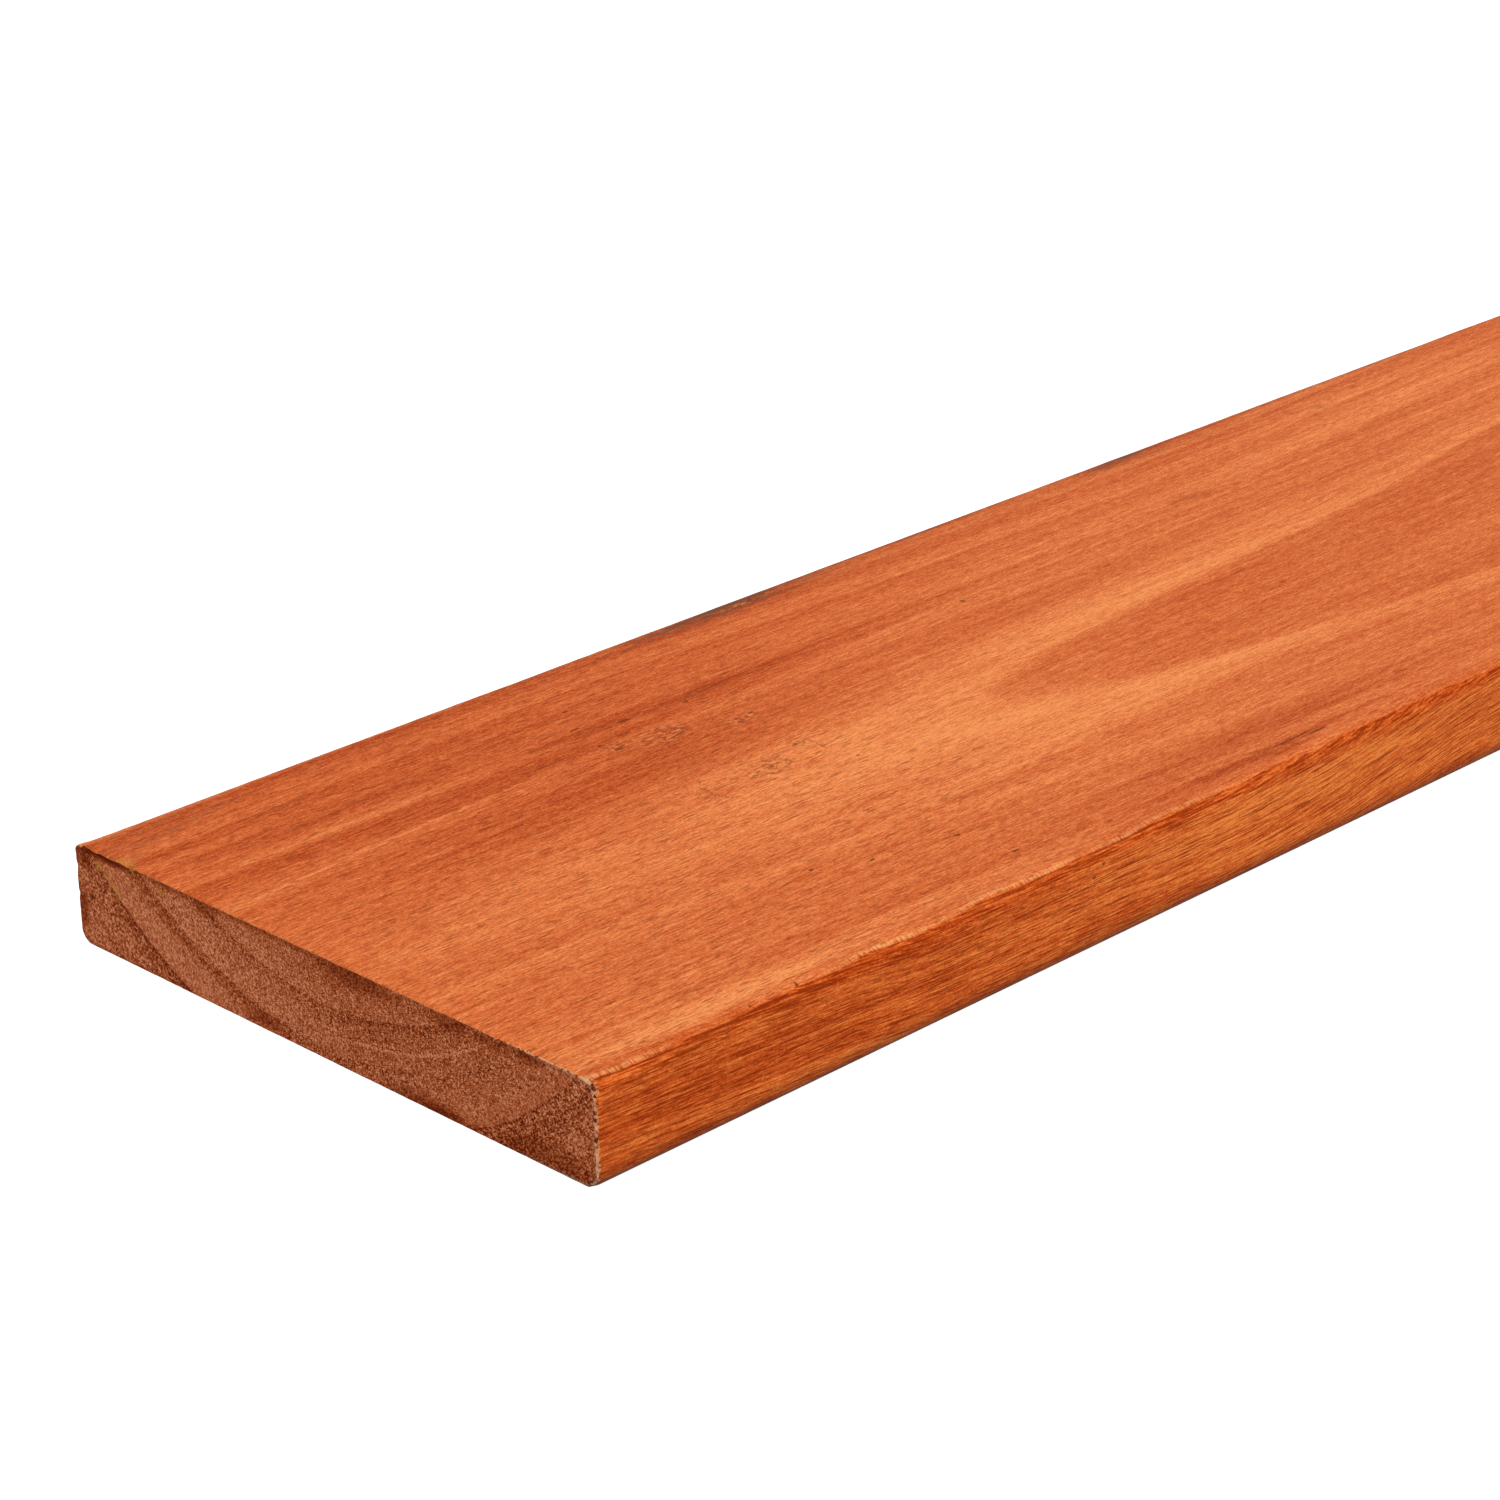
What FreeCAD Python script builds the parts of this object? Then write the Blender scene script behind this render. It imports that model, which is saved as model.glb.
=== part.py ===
"""Hardwood decking board: one length of planed timber with its four long edges rounded.

Millimetres. X runs along the board, Y across its width and Z up through its thickness.
The origin is under the middle of the board, on the plane that the underside rests on.
"""

import FreeCAD
import Part

import math
import os

# Driving dimensions
LENGTH = 1800.0  # stock length, from one sawn end to the other
WIDTH = 145.0  # planed width, edge to edge
THICKNESS = 21.0  # planed thickness, underside to walking face
FACE_ARRIS_RADIUS = 3.0  # rounding of the two long arrises of the walking face
UNDERSIDE_ARRIS_RADIUS = 3.0  # rounding of the two long arrises of the underside

# Places that follow from the driving dimensions
NEAR_END_X = -LENGTH / 2
EDGE_Y = WIDTH / 2
UNDERSIDE_Z = 0.0
FACE_Z = UNDERSIDE_Z + THICKNESS

# The arrises in order round the section: (Y side, Z side, radius)
ARRISES = [
    (+1, +1, FACE_ARRIS_RADIUS),
    (-1, +1, FACE_ARRIS_RADIUS),
    (-1, -1, UNDERSIDE_ARRIS_RADIUS),
    (+1, -1, UNDERSIDE_ARRIS_RADIUS),
]
QUARTER_TURN = math.pi / 2


def arris_arc(y_side, z_side, radius, start_angle):
    """Quarter circle that rounds one long arris of the section, from start_angle on."""
    face_z = FACE_Z if z_side > 0 else UNDERSIDE_Z
    centre_y = y_side * (EDGE_Y - radius)
    centre_z = face_z - z_side * radius

    def point(angle):
        y = centre_y + radius * math.cos(angle)
        z = centre_z + radius * math.sin(angle)
        return FreeCAD.Vector(NEAR_END_X, y, z)

    middle_angle = start_angle + QUARTER_TURN / 2
    end_angle = start_angle + QUARTER_TURN
    return Part.Arc(point(start_angle), point(middle_angle), point(end_angle))


def section():
    """Face of the board's section at its near end: four rounded arrises joined by four flats."""
    arcs = []
    for quarter, (y_side, z_side, radius) in enumerate(ARRISES):
        arcs.append(arris_arc(y_side, z_side, radius, quarter * QUARTER_TURN))
    edges = []
    for arc, next_arc in zip(arcs, arcs[1:] + arcs[:1]):
        flat = Part.LineSegment(arc.EndPoint, next_arc.StartPoint)
        edges += [arc.toShape(), flat.toShape()]
    return Part.Face(Part.Wire(edges))


def decking_board():
    """The section run on for the whole stock length, with both ends sawn square."""
    return section().extrude(FreeCAD.Vector(LENGTH, 0, 0))


def main():
    os.makedirs("parts", exist_ok=True)
    board = decking_board()
    board.exportStep("parts/decking_board.step")
    print("valid", board.isValid(), "volume mm3", round(board.Volume, 1), "faces", len(board.Faces))
    print("box", board.BoundBox)


main()
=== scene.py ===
"""Looks of a planed red hardwood decking board: its mesh, its wood and the plain studio it lies in.

The frame is in metres. Places on the board are written in millimetres here: u runs from the near
sawn end, v across the width from the middle line, and w up from the underside.
"""

import math
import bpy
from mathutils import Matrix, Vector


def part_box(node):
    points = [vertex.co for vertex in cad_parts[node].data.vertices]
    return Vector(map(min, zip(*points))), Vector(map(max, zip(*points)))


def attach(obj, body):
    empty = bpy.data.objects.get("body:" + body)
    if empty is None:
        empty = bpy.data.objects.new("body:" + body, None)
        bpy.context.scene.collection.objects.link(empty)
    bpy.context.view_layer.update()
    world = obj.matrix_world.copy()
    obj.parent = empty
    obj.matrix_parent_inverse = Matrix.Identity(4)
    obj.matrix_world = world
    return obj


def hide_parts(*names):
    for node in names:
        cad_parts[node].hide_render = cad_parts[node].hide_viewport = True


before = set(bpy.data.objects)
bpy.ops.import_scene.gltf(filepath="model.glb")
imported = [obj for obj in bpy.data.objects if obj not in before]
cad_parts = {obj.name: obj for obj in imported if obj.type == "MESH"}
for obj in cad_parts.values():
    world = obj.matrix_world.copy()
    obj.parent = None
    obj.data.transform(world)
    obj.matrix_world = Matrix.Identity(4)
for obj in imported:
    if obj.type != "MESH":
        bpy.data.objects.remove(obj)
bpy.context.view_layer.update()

from types import SimpleNamespace

import bpy
import numpy as np
from mathutils import Matrix, Vector, geometry, noise

NODE = "decking_board"
MM = 0.001

# The board's size, from the frame, and its rounded arrises
LOW, HIGH = (np.array(corner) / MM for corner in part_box(NODE))
LENGTH, WIDTH, THICKNESS = HIGH - LOW
ARRIS = 3.0
HALF_WIDTH = WIDTH / 2
TOP_FLAT = WIDTH - 2 * ARRIS
SIDE_FLAT = THICKNESS - 2 * ARRIS
ARRIS_RUN = ARRIS * math.pi / 2
LOWER_ARRIS_RUN = TOP_FLAT / 2 + ARRIS_RUN + SIDE_FLAT
EDGE_REACH = (TOP_FLAT / 2 - 3.0, LOWER_ARRIS_RUN + 15.0)  # runs from the middle of the top
GIRTH = 2 * TOP_FLAT + 2 * SIDE_FLAT + 4 * ARRIS_RUN

# Mesh fineness: segments of each stretch of the section, and (mm from the near end, steps up to there)
HALF_UNDERSIDE_STEPS, ARRIS_STEPS, SIDE_STEPS, TOP_STEPS = 18, 10, 14, 96
END_BAND = 6.0
STATIONS = [(60, 54), (90, 12), (140, 50), (520, 120), (1160, 54), (1740, 48), (LENGTH - END_BAND, 30)]
END_FINENESS = 3
END_DEPTHS = [0.0, 0.10, 0.25, 0.45, 0.75, 1.15, 1.7, 2.5, 3.6, 5.0]
# The sawn ends' sheet: spacing of its points, first step in from the rim, gap from the rim to the rest
END_GRAIN_SPACING = 1.15
END_RIM_STEP = 0.35
END_GRID_GAP = 1.2
TRIANGLE_HEIGHT = math.sqrt(3) / 2
SEED_STEP = 31.7  # keeps one noise clear of the next

# Wear that is cut into the mesh, in mm
PLANED_WAVE = 0.05
ARRIS_WAVE, ARRIS_WAVE_SPREAD = 0.16, 2.4
END_ROUNDING, END_ROUNDING_DEPTH = 0.20, 0.32
RIM_FRAY, RIM_FRAY_DEPTH = 0.10, 1.4
LIP_LENGTH = 3.2
SAW_PITS, SAW_LINES = 0.05, 0.04
# Where the edge's own grain starts, past the walking face's flat, and how far that line wavers
EDGE_START, EDGE_WAVER = 1.1, 1.0
# Dents: (u, v, w), (half length, half width, half height), depth
DENTS = [
    ((111.5, 2.0, 21.0), (3.2, 1.8, 2.0), 0.28),
    ((115.0, -0.5, 21.0), (3.6, 2.4, 2.0), 0.34),
    ((118.2, -1.8, 21.0), (2.4, 1.4, 2.0), 0.25),
    ((126.5, 4.8, 21.0), (1.3, 0.9, 2.0), 0.20),
    ((129.5, 2.6, 21.0), (1.0, 2.4, 2.0), 0.16),
    ((111.5, 38.9, 21.0), (2.4, 0.9, 2.0), 0.24),
    ((100.5, 29.5, 21.0), (1.8, 1.2, 2.0), 0.22),
    ((108.0, 27.0, 21.0), (4.4, 1.8, 2.0), 0.16),
    ((129.0, 22.0, 21.0), (3.8, 1.8, 2.0), 0.18),
    ((48.6, -70.9, 20.2), (1.9, 1.6, 1.6), 0.55),
    ((194.0, -65.4, 21.0), (7.0, 0.8, 2.0), 0.20),
    ((201.0, -66.3, 21.0), (6.0, 0.7, 2.0), 0.16),
    ((176.0, 68.0, 21.0), (12.0, 2.0, 2.5), 0.25),
]
# Chips out of both ends' rims: (mm round the near rim from the middle of the top, half length, depth)
CHIPS = [
    (-70.0, 2.0, 0.30), (-73.6, 1.2, 0.42), (-77.0, 0.9, 0.30), (-79.2, 0.7, 0.36), (-82.6, 1.1, 0.30),
    (-84.8, 0.6, 0.34), (-87.6, 0.9, 0.26), (-91.6, 1.8, 0.40), (61.5, 3.0, 0.22), (66.0, 1.6, 0.30),
    (71.0, 1.4, 0.35), (76.4, 1.2, 0.30), (82.0, 0.8, 0.25), (57.0, 1.8, 0.25), (-30.0, 3.0, 0.12),
]
# Lips of torn fibre that stand proud of the near end's rim, as chips are written
LIPS = [
    (72.2, 1.5, 0.55), (69.4, 0.9, 0.18), (57.6, 1.2, 0.16), (-71.5, 0.8, 0.16), (-75.2, 0.7, 0.14),
    (-80.4, 0.6, 0.14),
]
# Torn end grain below the near end's top edge: (v, w), (half width, half height), depth
TEARS = [
    ((64.5, 20.0), (6.5, 1.5), 0.75), ((70.2, 17.6), (2.0, 2.6), 0.55),
    ((57.2, 19.4), (2.6, 1.1), 0.45), ((68.3, 10.5), (1.3, 0.9), 0.80),
    ((-71.6, 13.0), (0.8, 6.0), 0.30),
]

# Growth: the pith lies above the board, and rings are cylinders that wander round it (u, mm)
PITH_HEIGHT = [
    (0, 91.6), (60, 90.6), (120, 88.4), (172, 86.6), (187, 86.0), (212, 85.2), (250, 84.0), (297, 82.4),
    (335, 80.6), (372, 77.6), (450, 73.4), (560, 70.0), (700, 68.2), (860, 70.4), (1010, 76.0),
    (1160, 84.0), (1320, 90.5), (1480, 92.5), (1800, 86.0),
]
PITH_ACROSS = [
    (0, -1), (90, -2.5), (150, -6.2), (187, -8.8), (212, -10.5), (250, -12.2), (297, -14.5),
    (335, -15.0), (380, -14.5), (520, -9.5), (700, -2.0), (860, 4.0), (1060, 9.0), (1300, 4.0),
    (1520, -7.0), (1800, -3.0),
]
# The grain of the front edge sweeps down, then up again in flames (u, mm)
EDGE_SWEEP = [
    (0, 0), (60, -2.6), (105, -4.6), (150, -4.8), (185, -3.6), (215, -0.5), (260, 5.0), (340, 9.0),
    (480, 2.0), (640, -4.0), (820, 3.0), (1000, 8.0), (1200, 0.0), (1400, -5.0), (1600, 2.0),
    (1800, 0.0),
]
# Tone of all planed wood, and how far its broad zones differ
BASE_TONE = 0.01
ZONE_TONE = 0.05
# Tone of each ring on planed faces, dark 0 to bright 1 (radius, tone)
RING_TONE = [
    (36, 0.40), (46, 0.56), (47, 0.42), (55, 0.52), (56, 0.40), (61, 0.47), (65.35, 0.44),
    (65.85, 0.73), (67.5, 0.70), (69.0, 0.60), (71.5, 0.50), (74.5, 0.48), (75.3, 0.58), (79.5, 0.50),
    (81.0, 0.44), (81.6, 0.58), (87.0, 0.52), (91.0, 0.40), (91.7, 0.60), (95.5, 0.50), (99.0, 0.36),
    (99.8, 0.58), (104.0, 0.46), (104.6, 0.60), (109.0, 0.44), (109.8, 0.60), (114.0, 0.42),
    (114.6, 0.58), (120, 0.46), (130, 0.52),
]
# Tone of each ring on sawn ends: a sharp dark edge that pales outward (radius, tone)
END_RING_TONE = [
    (60, 0.53), (74.0, 0.55), (74.3, 0.46), (76.0, 0.53), (79.7, 0.62), (80.0, 0.32), (80.6, 0.40),
    (82.6, 0.53), (88.8, 0.58), (92.2, 0.56), (95.0, 0.60), (98.86, 0.61), (99.09, 0.42), (99.3, 0.44),
    (100.2, 0.46), (102.5, 0.49), (109.0, 0.52), (116.0, 0.53),
]
# Strength of the sawn ends' texture, ring by ring (radius, share)
END_TEXTURE = [
    (60, 1.0), (79.7, 0.9), (80.0, 1.15), (83.0, 1.0), (88.7, 0.9), (89.5, 1.1), (91.5, 0.9),
    (95.0, 0.8), (98.9, 0.7), (99.2, 1.2), (103.0, 1.1), (110.0, 1.0), (116.0, 1.0),
]
# Rings that show only in the back half of the ends, or only in the front half (radius, tone)
BACK_RINGS = [
    (60.0, 0.07), (88.6, 0.10), (89.2, -0.19), (90.6, -0.15), (92.6, 0.10), (98.86, 0.10),
    (99.09, -0.38), (99.3, -0.24), (100.2, -0.03), (104.0, 0.08), (116.0, 0.08),
]
FRONT_RINGS = [
    (84.0, -0.03), (85.0, -0.02), (85.2, 0.20), (85.5, 0.20), (85.8, -0.02), (98.7, -0.02),
    (99.1, -0.28), (99.5, 0.0), (101.7, 0.0), (102.0, -0.26), (102.4, -0.10), (105.0, 0.0),
]
# The front rings lie straighter than circles: mm of radius for each mm of height
FRONT_LEAN = 0.13
# Darker patches on the near end, mostly along its top edge; the first two are painted shade in the torn
# hollows there: (v, w), (half width, half height), strength
END_DARK_PATCHES = [
    ((63.0, 20.2), (12.0, 1.8), 0.70), ((70.0, 18.0), (3.0, 2.6), 0.40),
    ((71.0, 7.5), (2.2, 6.0), 0.40), ((43.0, 20.6), (14.0, 1.8), 0.34),
    ((28.0, 20.6), (10.0, 1.5), 0.22), ((-54.0, 20.6), (8.0, 1.6), 0.20),
    ((-28.0, 1.0), (15.0, 3.0), 0.22), ((32.5, 19.2), (6.0, 2.4), 0.30),
    ((12.0, 20.5), (18.0, 1.7), 0.30), ((-9.0, 19.4), (17.0, 3.4), 0.34),
    ((-35.0, 19.4), (9.0, 2.8), 0.26), ((-46.5, 19.2), (7.0, 2.6), 0.26),
    ((-56.0, 19.6), (6.0, 2.0), 0.28), ((-60.0, 1.8), (20.0, 5.4), 0.26),
    ((-33.0, 0.8), (12.0, 1.8), 0.28), ((18.0, 1.8), (9.0, 2.6), 0.22),
]
# Golden resin on the near end (v, w)
RESIN = [(65.1, 17.8), (62.8, 16.3), (60.7, 14.8), (59.6, 13.6), (54.7, 20.4), (46.3, 18.5)]

# Patches of tone in the wood: (u, v, w), (half length, half width, half depth), tone, greyness
PATCHES = [
    ((88, 17, 21), (92, 13, 12), -0.21, 0.0),
    ((85, 46, 21), (170, 32, 12), -0.15, 0.0),
    ((260, 68, 21), (330, 7, 6), -0.06, 0.14),
    ((70, 33, 21), (120, 5.5, 8), -0.14, 0.0),
    ((110, 40.5, 21), (16, 2.0, 6), -0.20, 0.10),
    ((127, 38.8, 21), (18, 2.8, 6), -0.24, 0.12),
    ((148, 38.4, 21), (26, 3.4, 6), -0.18, 0.06),
    ((125, -18, 21), (150, 27, 12), 0.16, 0.0),
    ((185, -31, 21), (100, 9, 10), 0.16, 0.0),
    ((180, -45, 21), (95, 8, 8), 0.14, 0.0),
    ((215, 12, 21), (70, 8, 8), 0.14, 0.0),
    ((380, 55, 21), (90, 20, 8), 0.12, 0.0),
    ((200, -57, 21), (75, 8, 8), -0.14, 0.10),
    ((20, -56, 21), (90, 10, 8), 0.10, 0.0),
    # Painted highlight: a pale band along the front top arris near the near end
    ((34, -66.5, 21), (52, 3.4, 4), 0.36, 0.0),
    ((187, -65.5, 21), (46, 2.6, 4), -0.26, 0.15),
    ((36, 47.5, 21), (60, 2.6, 6), -0.16, 0.10),
    ((50, 40, 21), (70, 1.8, 6), 0.22, 0.0),
    ((8, 62, 21), (16, 10, 6), -0.08, 0.42),
    ((172, 69.2, 20.6), (44, 5.6, 5), -0.40, 1.30),
    ((206, 71.5, 19.8), (18, 2.4, 4), -0.40, 1.40),
    ((250, 71.3, 20.4), (330, 2.3, 4), -0.40, 0.60),
    ((298, 70.4, 20.2), (24, 4.6, 5), -0.35, 1.20),
    ((294, 40, 21), (12, 2.8, 6), -0.22, 0.35),
    ((366, 58, 21), (7, 3.0, 6), -0.10, 0.35),
    ((35, -72.5, 11), (75, 6, 12), -0.16, 0.0),
    ((45, -72.5, 9), (60, 6, 5), 0.08, 0.0),
    ((195, -72.5, 12), (125, 6, 10), 0.24, 0.0),
    ((190, -68.6, 21), (16, 1.1, 3), -0.30, 0.0),
]
# How far a patch's edge is feathered along and across the grain, and the share of it that fades out
PATCH_FEATHER = (35.0, 2.0)
PATCH_FADE = 0.85
# Scuffs, where dark specks gather: (u, v, w), (half length, half width, half depth), strength
SCUFFS = [
    ((114.5, 0.2, 21), (8.5, 5.2, 6), 2.0),
    ((127.5, 4.2, 21), (4.0, 3.2, 6), 0.75),
    ((111.9, 28.1, 21), (9.0, 5.0, 6), 1.3),
    ((101, 30, 21), (6.0, 4.0, 6), 0.8),
    ((129, 22, 21), (7.5, 3.6, 6), 0.9),
    ((112, 18, 21), (30, 27, 6), 0.40),
    ((176, 68, 21), (15, 2.2, 6), 0.9),
    ((26.8, -36.5, 21), (3.4, 1.5, 6), 0.9),
    ((7.6, -24.2, 21), (3.0, 1.4, 6), 0.8),
]
# Small dark marks on the walking face: (u, v, half length, half width), and how deep they go
FACE_MARKS = [
    (111.4, 38.8, 2.6, 0.9), (99.4, 32.7, 1.2, 0.7), (101.1, 29.0, 1.8, 1.0), (101.3, 42.6, 2.2, 0.6),
    (106.7, 50.9, 1.7, 0.7), (85.8, -39.2, 1.0, 0.8), (96.8, -44.4, 1.3, 0.6), (130.9, -8.1, 0.9, 0.6),
    (126.5, 5.0, 1.0, 0.7), (132.0, 23.0, 1.2, 0.6), (127.1, 21.1, 1.1, 0.7), (126.9, 36.8, 1.2, 0.6),
    (116, -48.5, 1.4, 0.7), (118.1, -61.2, 1.6, 0.7), (207, 33.7, 0.8, 1.8), (194, -65.4, 7.0, 0.6),
    (201, -66.3, 6.5, 0.55),
]
MARK_DEPTH = 4
# All small dark marks: (u, v, w), (half length, half width, half depth)
MARKS = [((u, v, THICKNESS), (long, wide, MARK_DEPTH)) for u, v, long, wide in FACE_MARKS] + [
    ((50.2, -70.4, 20.4), (0.6, 1.3, 1.4)), ((38.6, -70.6, 20.4), (0.7, 0.7, 0.9)),
    ((127.6, -72.5, 15.7), (1.0, 3.0, 0.6)), ((130.4, -72.0, 17.7), (1.2, 3.0, 0.5)),
]
# Scratches across the grain of the walking face, each a line of (v, u)
SCRATCHES = [
    [(-4.9, 99.3), (-0.9, 97.8), (3.9, 98.9), (6.4, 100.9)],
    [(1.4, 95.7), (3.0, 94.4), (4.5, 92.8)],
    [(-1.2, 129.1), (2.6, 130.2), (5.8, 129.6)],
]
# A pale line that follows the grain along the walking face (u, v)
PALE_LINE = [
    (0, 25.7), (60, 29.5), (160, 32.5), (207, 35.0), (295, 36.2), (390, 37.5), (600, 36.0), (900, 30.0),
    (1800, 26.0),
]
# How strongly that pale line shows (u, share)
PALE_LINE_SHARE = [
    (0, 1.0), (85, 1.0), (105, 0.15), (165, 0.15), (190, 0.8), (420, 0.6), (900, 0.2), (1300, 0.8),
    (1800, 0.4),
]
# How strongly dark pores show along the board (u, share)
PORE_SHARE = [
    (0, 1.0), (110, 1.0), (190, 0.4), (430, 0.4), (560, 0.9), (800, 0.5), (1100, 1.0), (1400, 0.5),
    (1800, 0.9),
]
# How dark the grain runs just under the front top arris (u, share)
DARK_ARRIS = [
    (0, 0.3), (12, 0.7), (20, 1.0), (50, 1.0), (62, 0.4), (110, 0.3), (180, 0.6), (260, 0.3),
    (700, 0.8), (1200, 0.2), (1800, 0.7),
]
# How much the front top arris is worn pale and given a painted highlight along its length (u, share)
WORN_HIGHLIT_ARRIS = [
    (0, 0.8), (13, 0.7), (18, 0.0), (50, 0.0), (60, 0.2), (66, 0.9), (80, 0.9), (88, 0.1), (99, 0.8),
    (119, 0.7), (125, 0.2), (138, 0.6), (158, 0.5), (166, 0.1), (200, 0.0), (300, 0.0), (330, 0.5),
    (380, 0.5), (450, 0.1), (600, 0.8), (760, 0.0), (930, 0.9), (1120, 0.1), (1300, 0.8), (1480, 0.1),
    (1650, 0.9), (1800, 0.4),
]

# Noises of the planed wood: size of their grains in mm, and how much each changes the tone
WANDER_GRAIN, WANDER = (150, 26, 26), (2.4, 1.6)
CURL_GRAIN, CURL = (5.0, 2.2, 2.2), 0.6
BAND_GRAIN, BAND_TONE = (420, 3.4, 30), 0.28
STREAK_GRAIN, STREAK_TONE, EDGE_STREAK_TONE = (90, 0.70, 9), 0.30, 0.21
STRAND_GRAIN, STRAND_TONE = (80, 2.2, 1.6), 0.36
FIBRE_GRAIN, FIBRE_TONE = (11, 0.78, 0.55), 0.46
THREAD_GRAIN, THREAD_TONE, EDGE_THREAD_TONE = (3.0, 0.41, 0.34), 0.90, 0.27
GRIT_GRAIN, GRIT_TONE = (0.60, 0.36, 0.36), 0.62
LINE_GRAIN, LINE_TONE = (13, 0.60, 0.30), 1.45
PALE_LINE_TONE = 0.22
# Painted shade that darkens the top arris
TOP_ARRIS_SHADE = -0.20
# Noises that break up what is laid over the planed wood, in mm
PORE_GRAIN = (3.4, 0.42, 0.38)
CHATTER_GRAIN = (0.36, 5, 5)
WRINKLE_GRAIN = (1.5, 0.65, 0.65)
FRINGE_GRAIN = (0.5, 0.60, 0.60)
PIT_GRAIN = (1.2, 1.3, 1.3)
# Noises of the sawn ends, as for the planed wood
END_BAND_GRAIN, END_BAND_TONE = (300, 2.6, 40), 0.20
BAR_GRAIN, BAR_TONE = (40, 0.80, 0.26), 0.90
WORM_GRAIN, WORM_TONE = (40, 0.27, 0.46), 1.45
END_GRIT_GRAIN, END_GRIT_TONE = (3, 0.25, 0.22), 0.85
BLOTCH_GRAIN, BLOTCH_TONE = (40, 11, 6), 0.16
FRAY_GRAIN = (3, 0.55, 0.55)
# How deep the near end's darker patches reach into the wood, and half the size of its specks of resin
DARK_PATCH_REACH = 6.0
RESIN_HALF = (4.0, 1.6, 1.3)
# Single places: the hole in the near end, resin on its top rim, and its frayed front top corner
END_HOLE = (0.8, 68.3, 10.5), (4.0, 1.3, 0.9)
GOLDEN_RIM = (0.0, 57.0, THICKNESS), (3.4, 4.5, 2.5)
FRAYED_CORNER = (0.0, -HALF_WIDTH, THICKNESS), (4.0, 5.0, 4.0)

# How strongly each thing laid over the wood covers it
PORE_COVER = 0.45
EDGE_LINE_COVER = 0.68
# Painted shade on the lower arris, in two steps
LOWER_SHADE_COVER, DEEPER_SHADE_COVER = 0.46, 0.50
# Worn pale fibres and a painted highlight on the top arris
WORN_HIGHLIGHT_COVER = 0.73
SCUFF_PALE_COVER, SCUFF_DARK_COVER = 0.28, 0.50
MARK_COVER = 0.74
SCRATCH_COVER = 0.44
FRINGE_COVER = 0.70
RIM_GREY_COVER = 0.70
RIM_RED_COVER = 0.50

# The edge's sweep comes in over these v, the walking face's lines over these w
SWEEP_FADE = (-67.0, -71.0)
WALKING_FACE_FADE = (19.0, 20.5)
# Runs from the middle of the top over which the edges' layers come in
ARRIS_FADE = (TOP_FLAT / 2 + 6.0, TOP_FLAT / 2 + 2.0)
EDGE_FADE = (LOWER_ARRIS_RUN + 12.0, LOWER_ARRIS_RUN + 8.0)
# The next two carry the painted shade of the lower arris, in two steps
LOWER_SHADE_FADE = (LOWER_ARRIS_RUN - 2.2, LOWER_ARRIS_RUN + 1.2)
DEEPER_SHADE_FADE = (LOWER_ARRIS_RUN + 1.2, LOWER_ARRIS_RUN + 2.2)
UNDERSIDE_FADE = (LOWER_ARRIS_RUN + 9.0, LOWER_ARRIS_RUN + 5.0)
# Radius at which arcs round the pith are measured
ARC_RADIUS = 85.0

# Surface of the oiled and of the sawn wood: gloss, and strength and height in metres of its relief
PLANED_ROUGHNESS, PLANED_ROUGHNESS_SWING = 0.40, 0.22
PLANED_SPECULAR = 0.02
PLANED_RELIEF = {"Strength": 0.55, "Distance": 0.00024}
SAWN_ROUGHNESS = 0.82
SAWN_SPECULAR = 0.03
SAWN_RELIEF = {"Strength": 0.6, "Distance": 0.00025}

# Colours, linear: planed faces and sawn ends from dark to bright, and what is laid over them
FACE_COLOURS = [(0.0, (0.34, 0.040, 0.004)), (0.25, (0.52, 0.085, 0.015)), (0.5, (0.650, 0.142, 0.036)),
                (0.75, (0.780, 0.216, 0.062)), (1.0, (0.91, 0.316, 0.100))]
END_COLOURS = [(0.0, (0.125, 0.013, 0.001)), (0.3, (0.29, 0.055, 0.013)), (0.55, (0.46, 0.112, 0.035)),
               (0.8, (0.60, 0.182, 0.076)), (1.0, (0.78, 0.32, 0.17))]
EDGE_TINT = (0.96, 0.80, 0.51)
EDGE_LINE = (0.22, 0.026, 0.002)
# Painted shade, darkening the lower arris towards the underside
LOWER_ARRIS_SHADE = (0.075, 0.016, 0.005)
GREY_STAIN = (0.15, 0.066, 0.034)
DARK_SPECK = (0.085, 0.014, 0.003)
PALE_FIBRE = (0.60, 0.39, 0.22)
# Pale worn fibre of the scuffs, also the painted highlight on the top arris
WORN_FIBRE_AND_HIGHLIGHT = (0.90, 0.43, 0.16)
RIM_GREY = (0.42, 0.27, 0.17)
GOLD_SPECK = (0.56, 0.25, 0.055)
PORE = (0.20, 0.026, 0.003)

# Camera fitted to the photograph, in degrees and millimetres from the near end; it clips in metres
CAMERA_PLACE = (-426.859, -547.042, 352.258)
CAMERA_YAW, CAMERA_PITCH, CAMERA_ROLL = 45.590, 23.0407, -1.1095
CAMERA_LENS, CAMERA_SENSOR = 102.66, 36.0
CAMERA_CLIP = 0.01

# Studio: direction to the key light, its strength and softness, the light all round, and the floor
KEY_DIRECTION = (-0.254, -0.545, 0.799)
KEY_STRENGTH = 2.28
KEY_SOFTNESS = math.radians(70)
AMBIENT = 0.45
FLOOR_MARGIN = 0.6
FLOOR_GREY = 0.50
FLOOR_GLOW = 0.90


def ripple(u, v, w, seed):
    """Smooth noise from -1 to 1, the same on every run."""
    return noise.noise(Vector((u, v, w + SEED_STEP * seed)))


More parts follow.
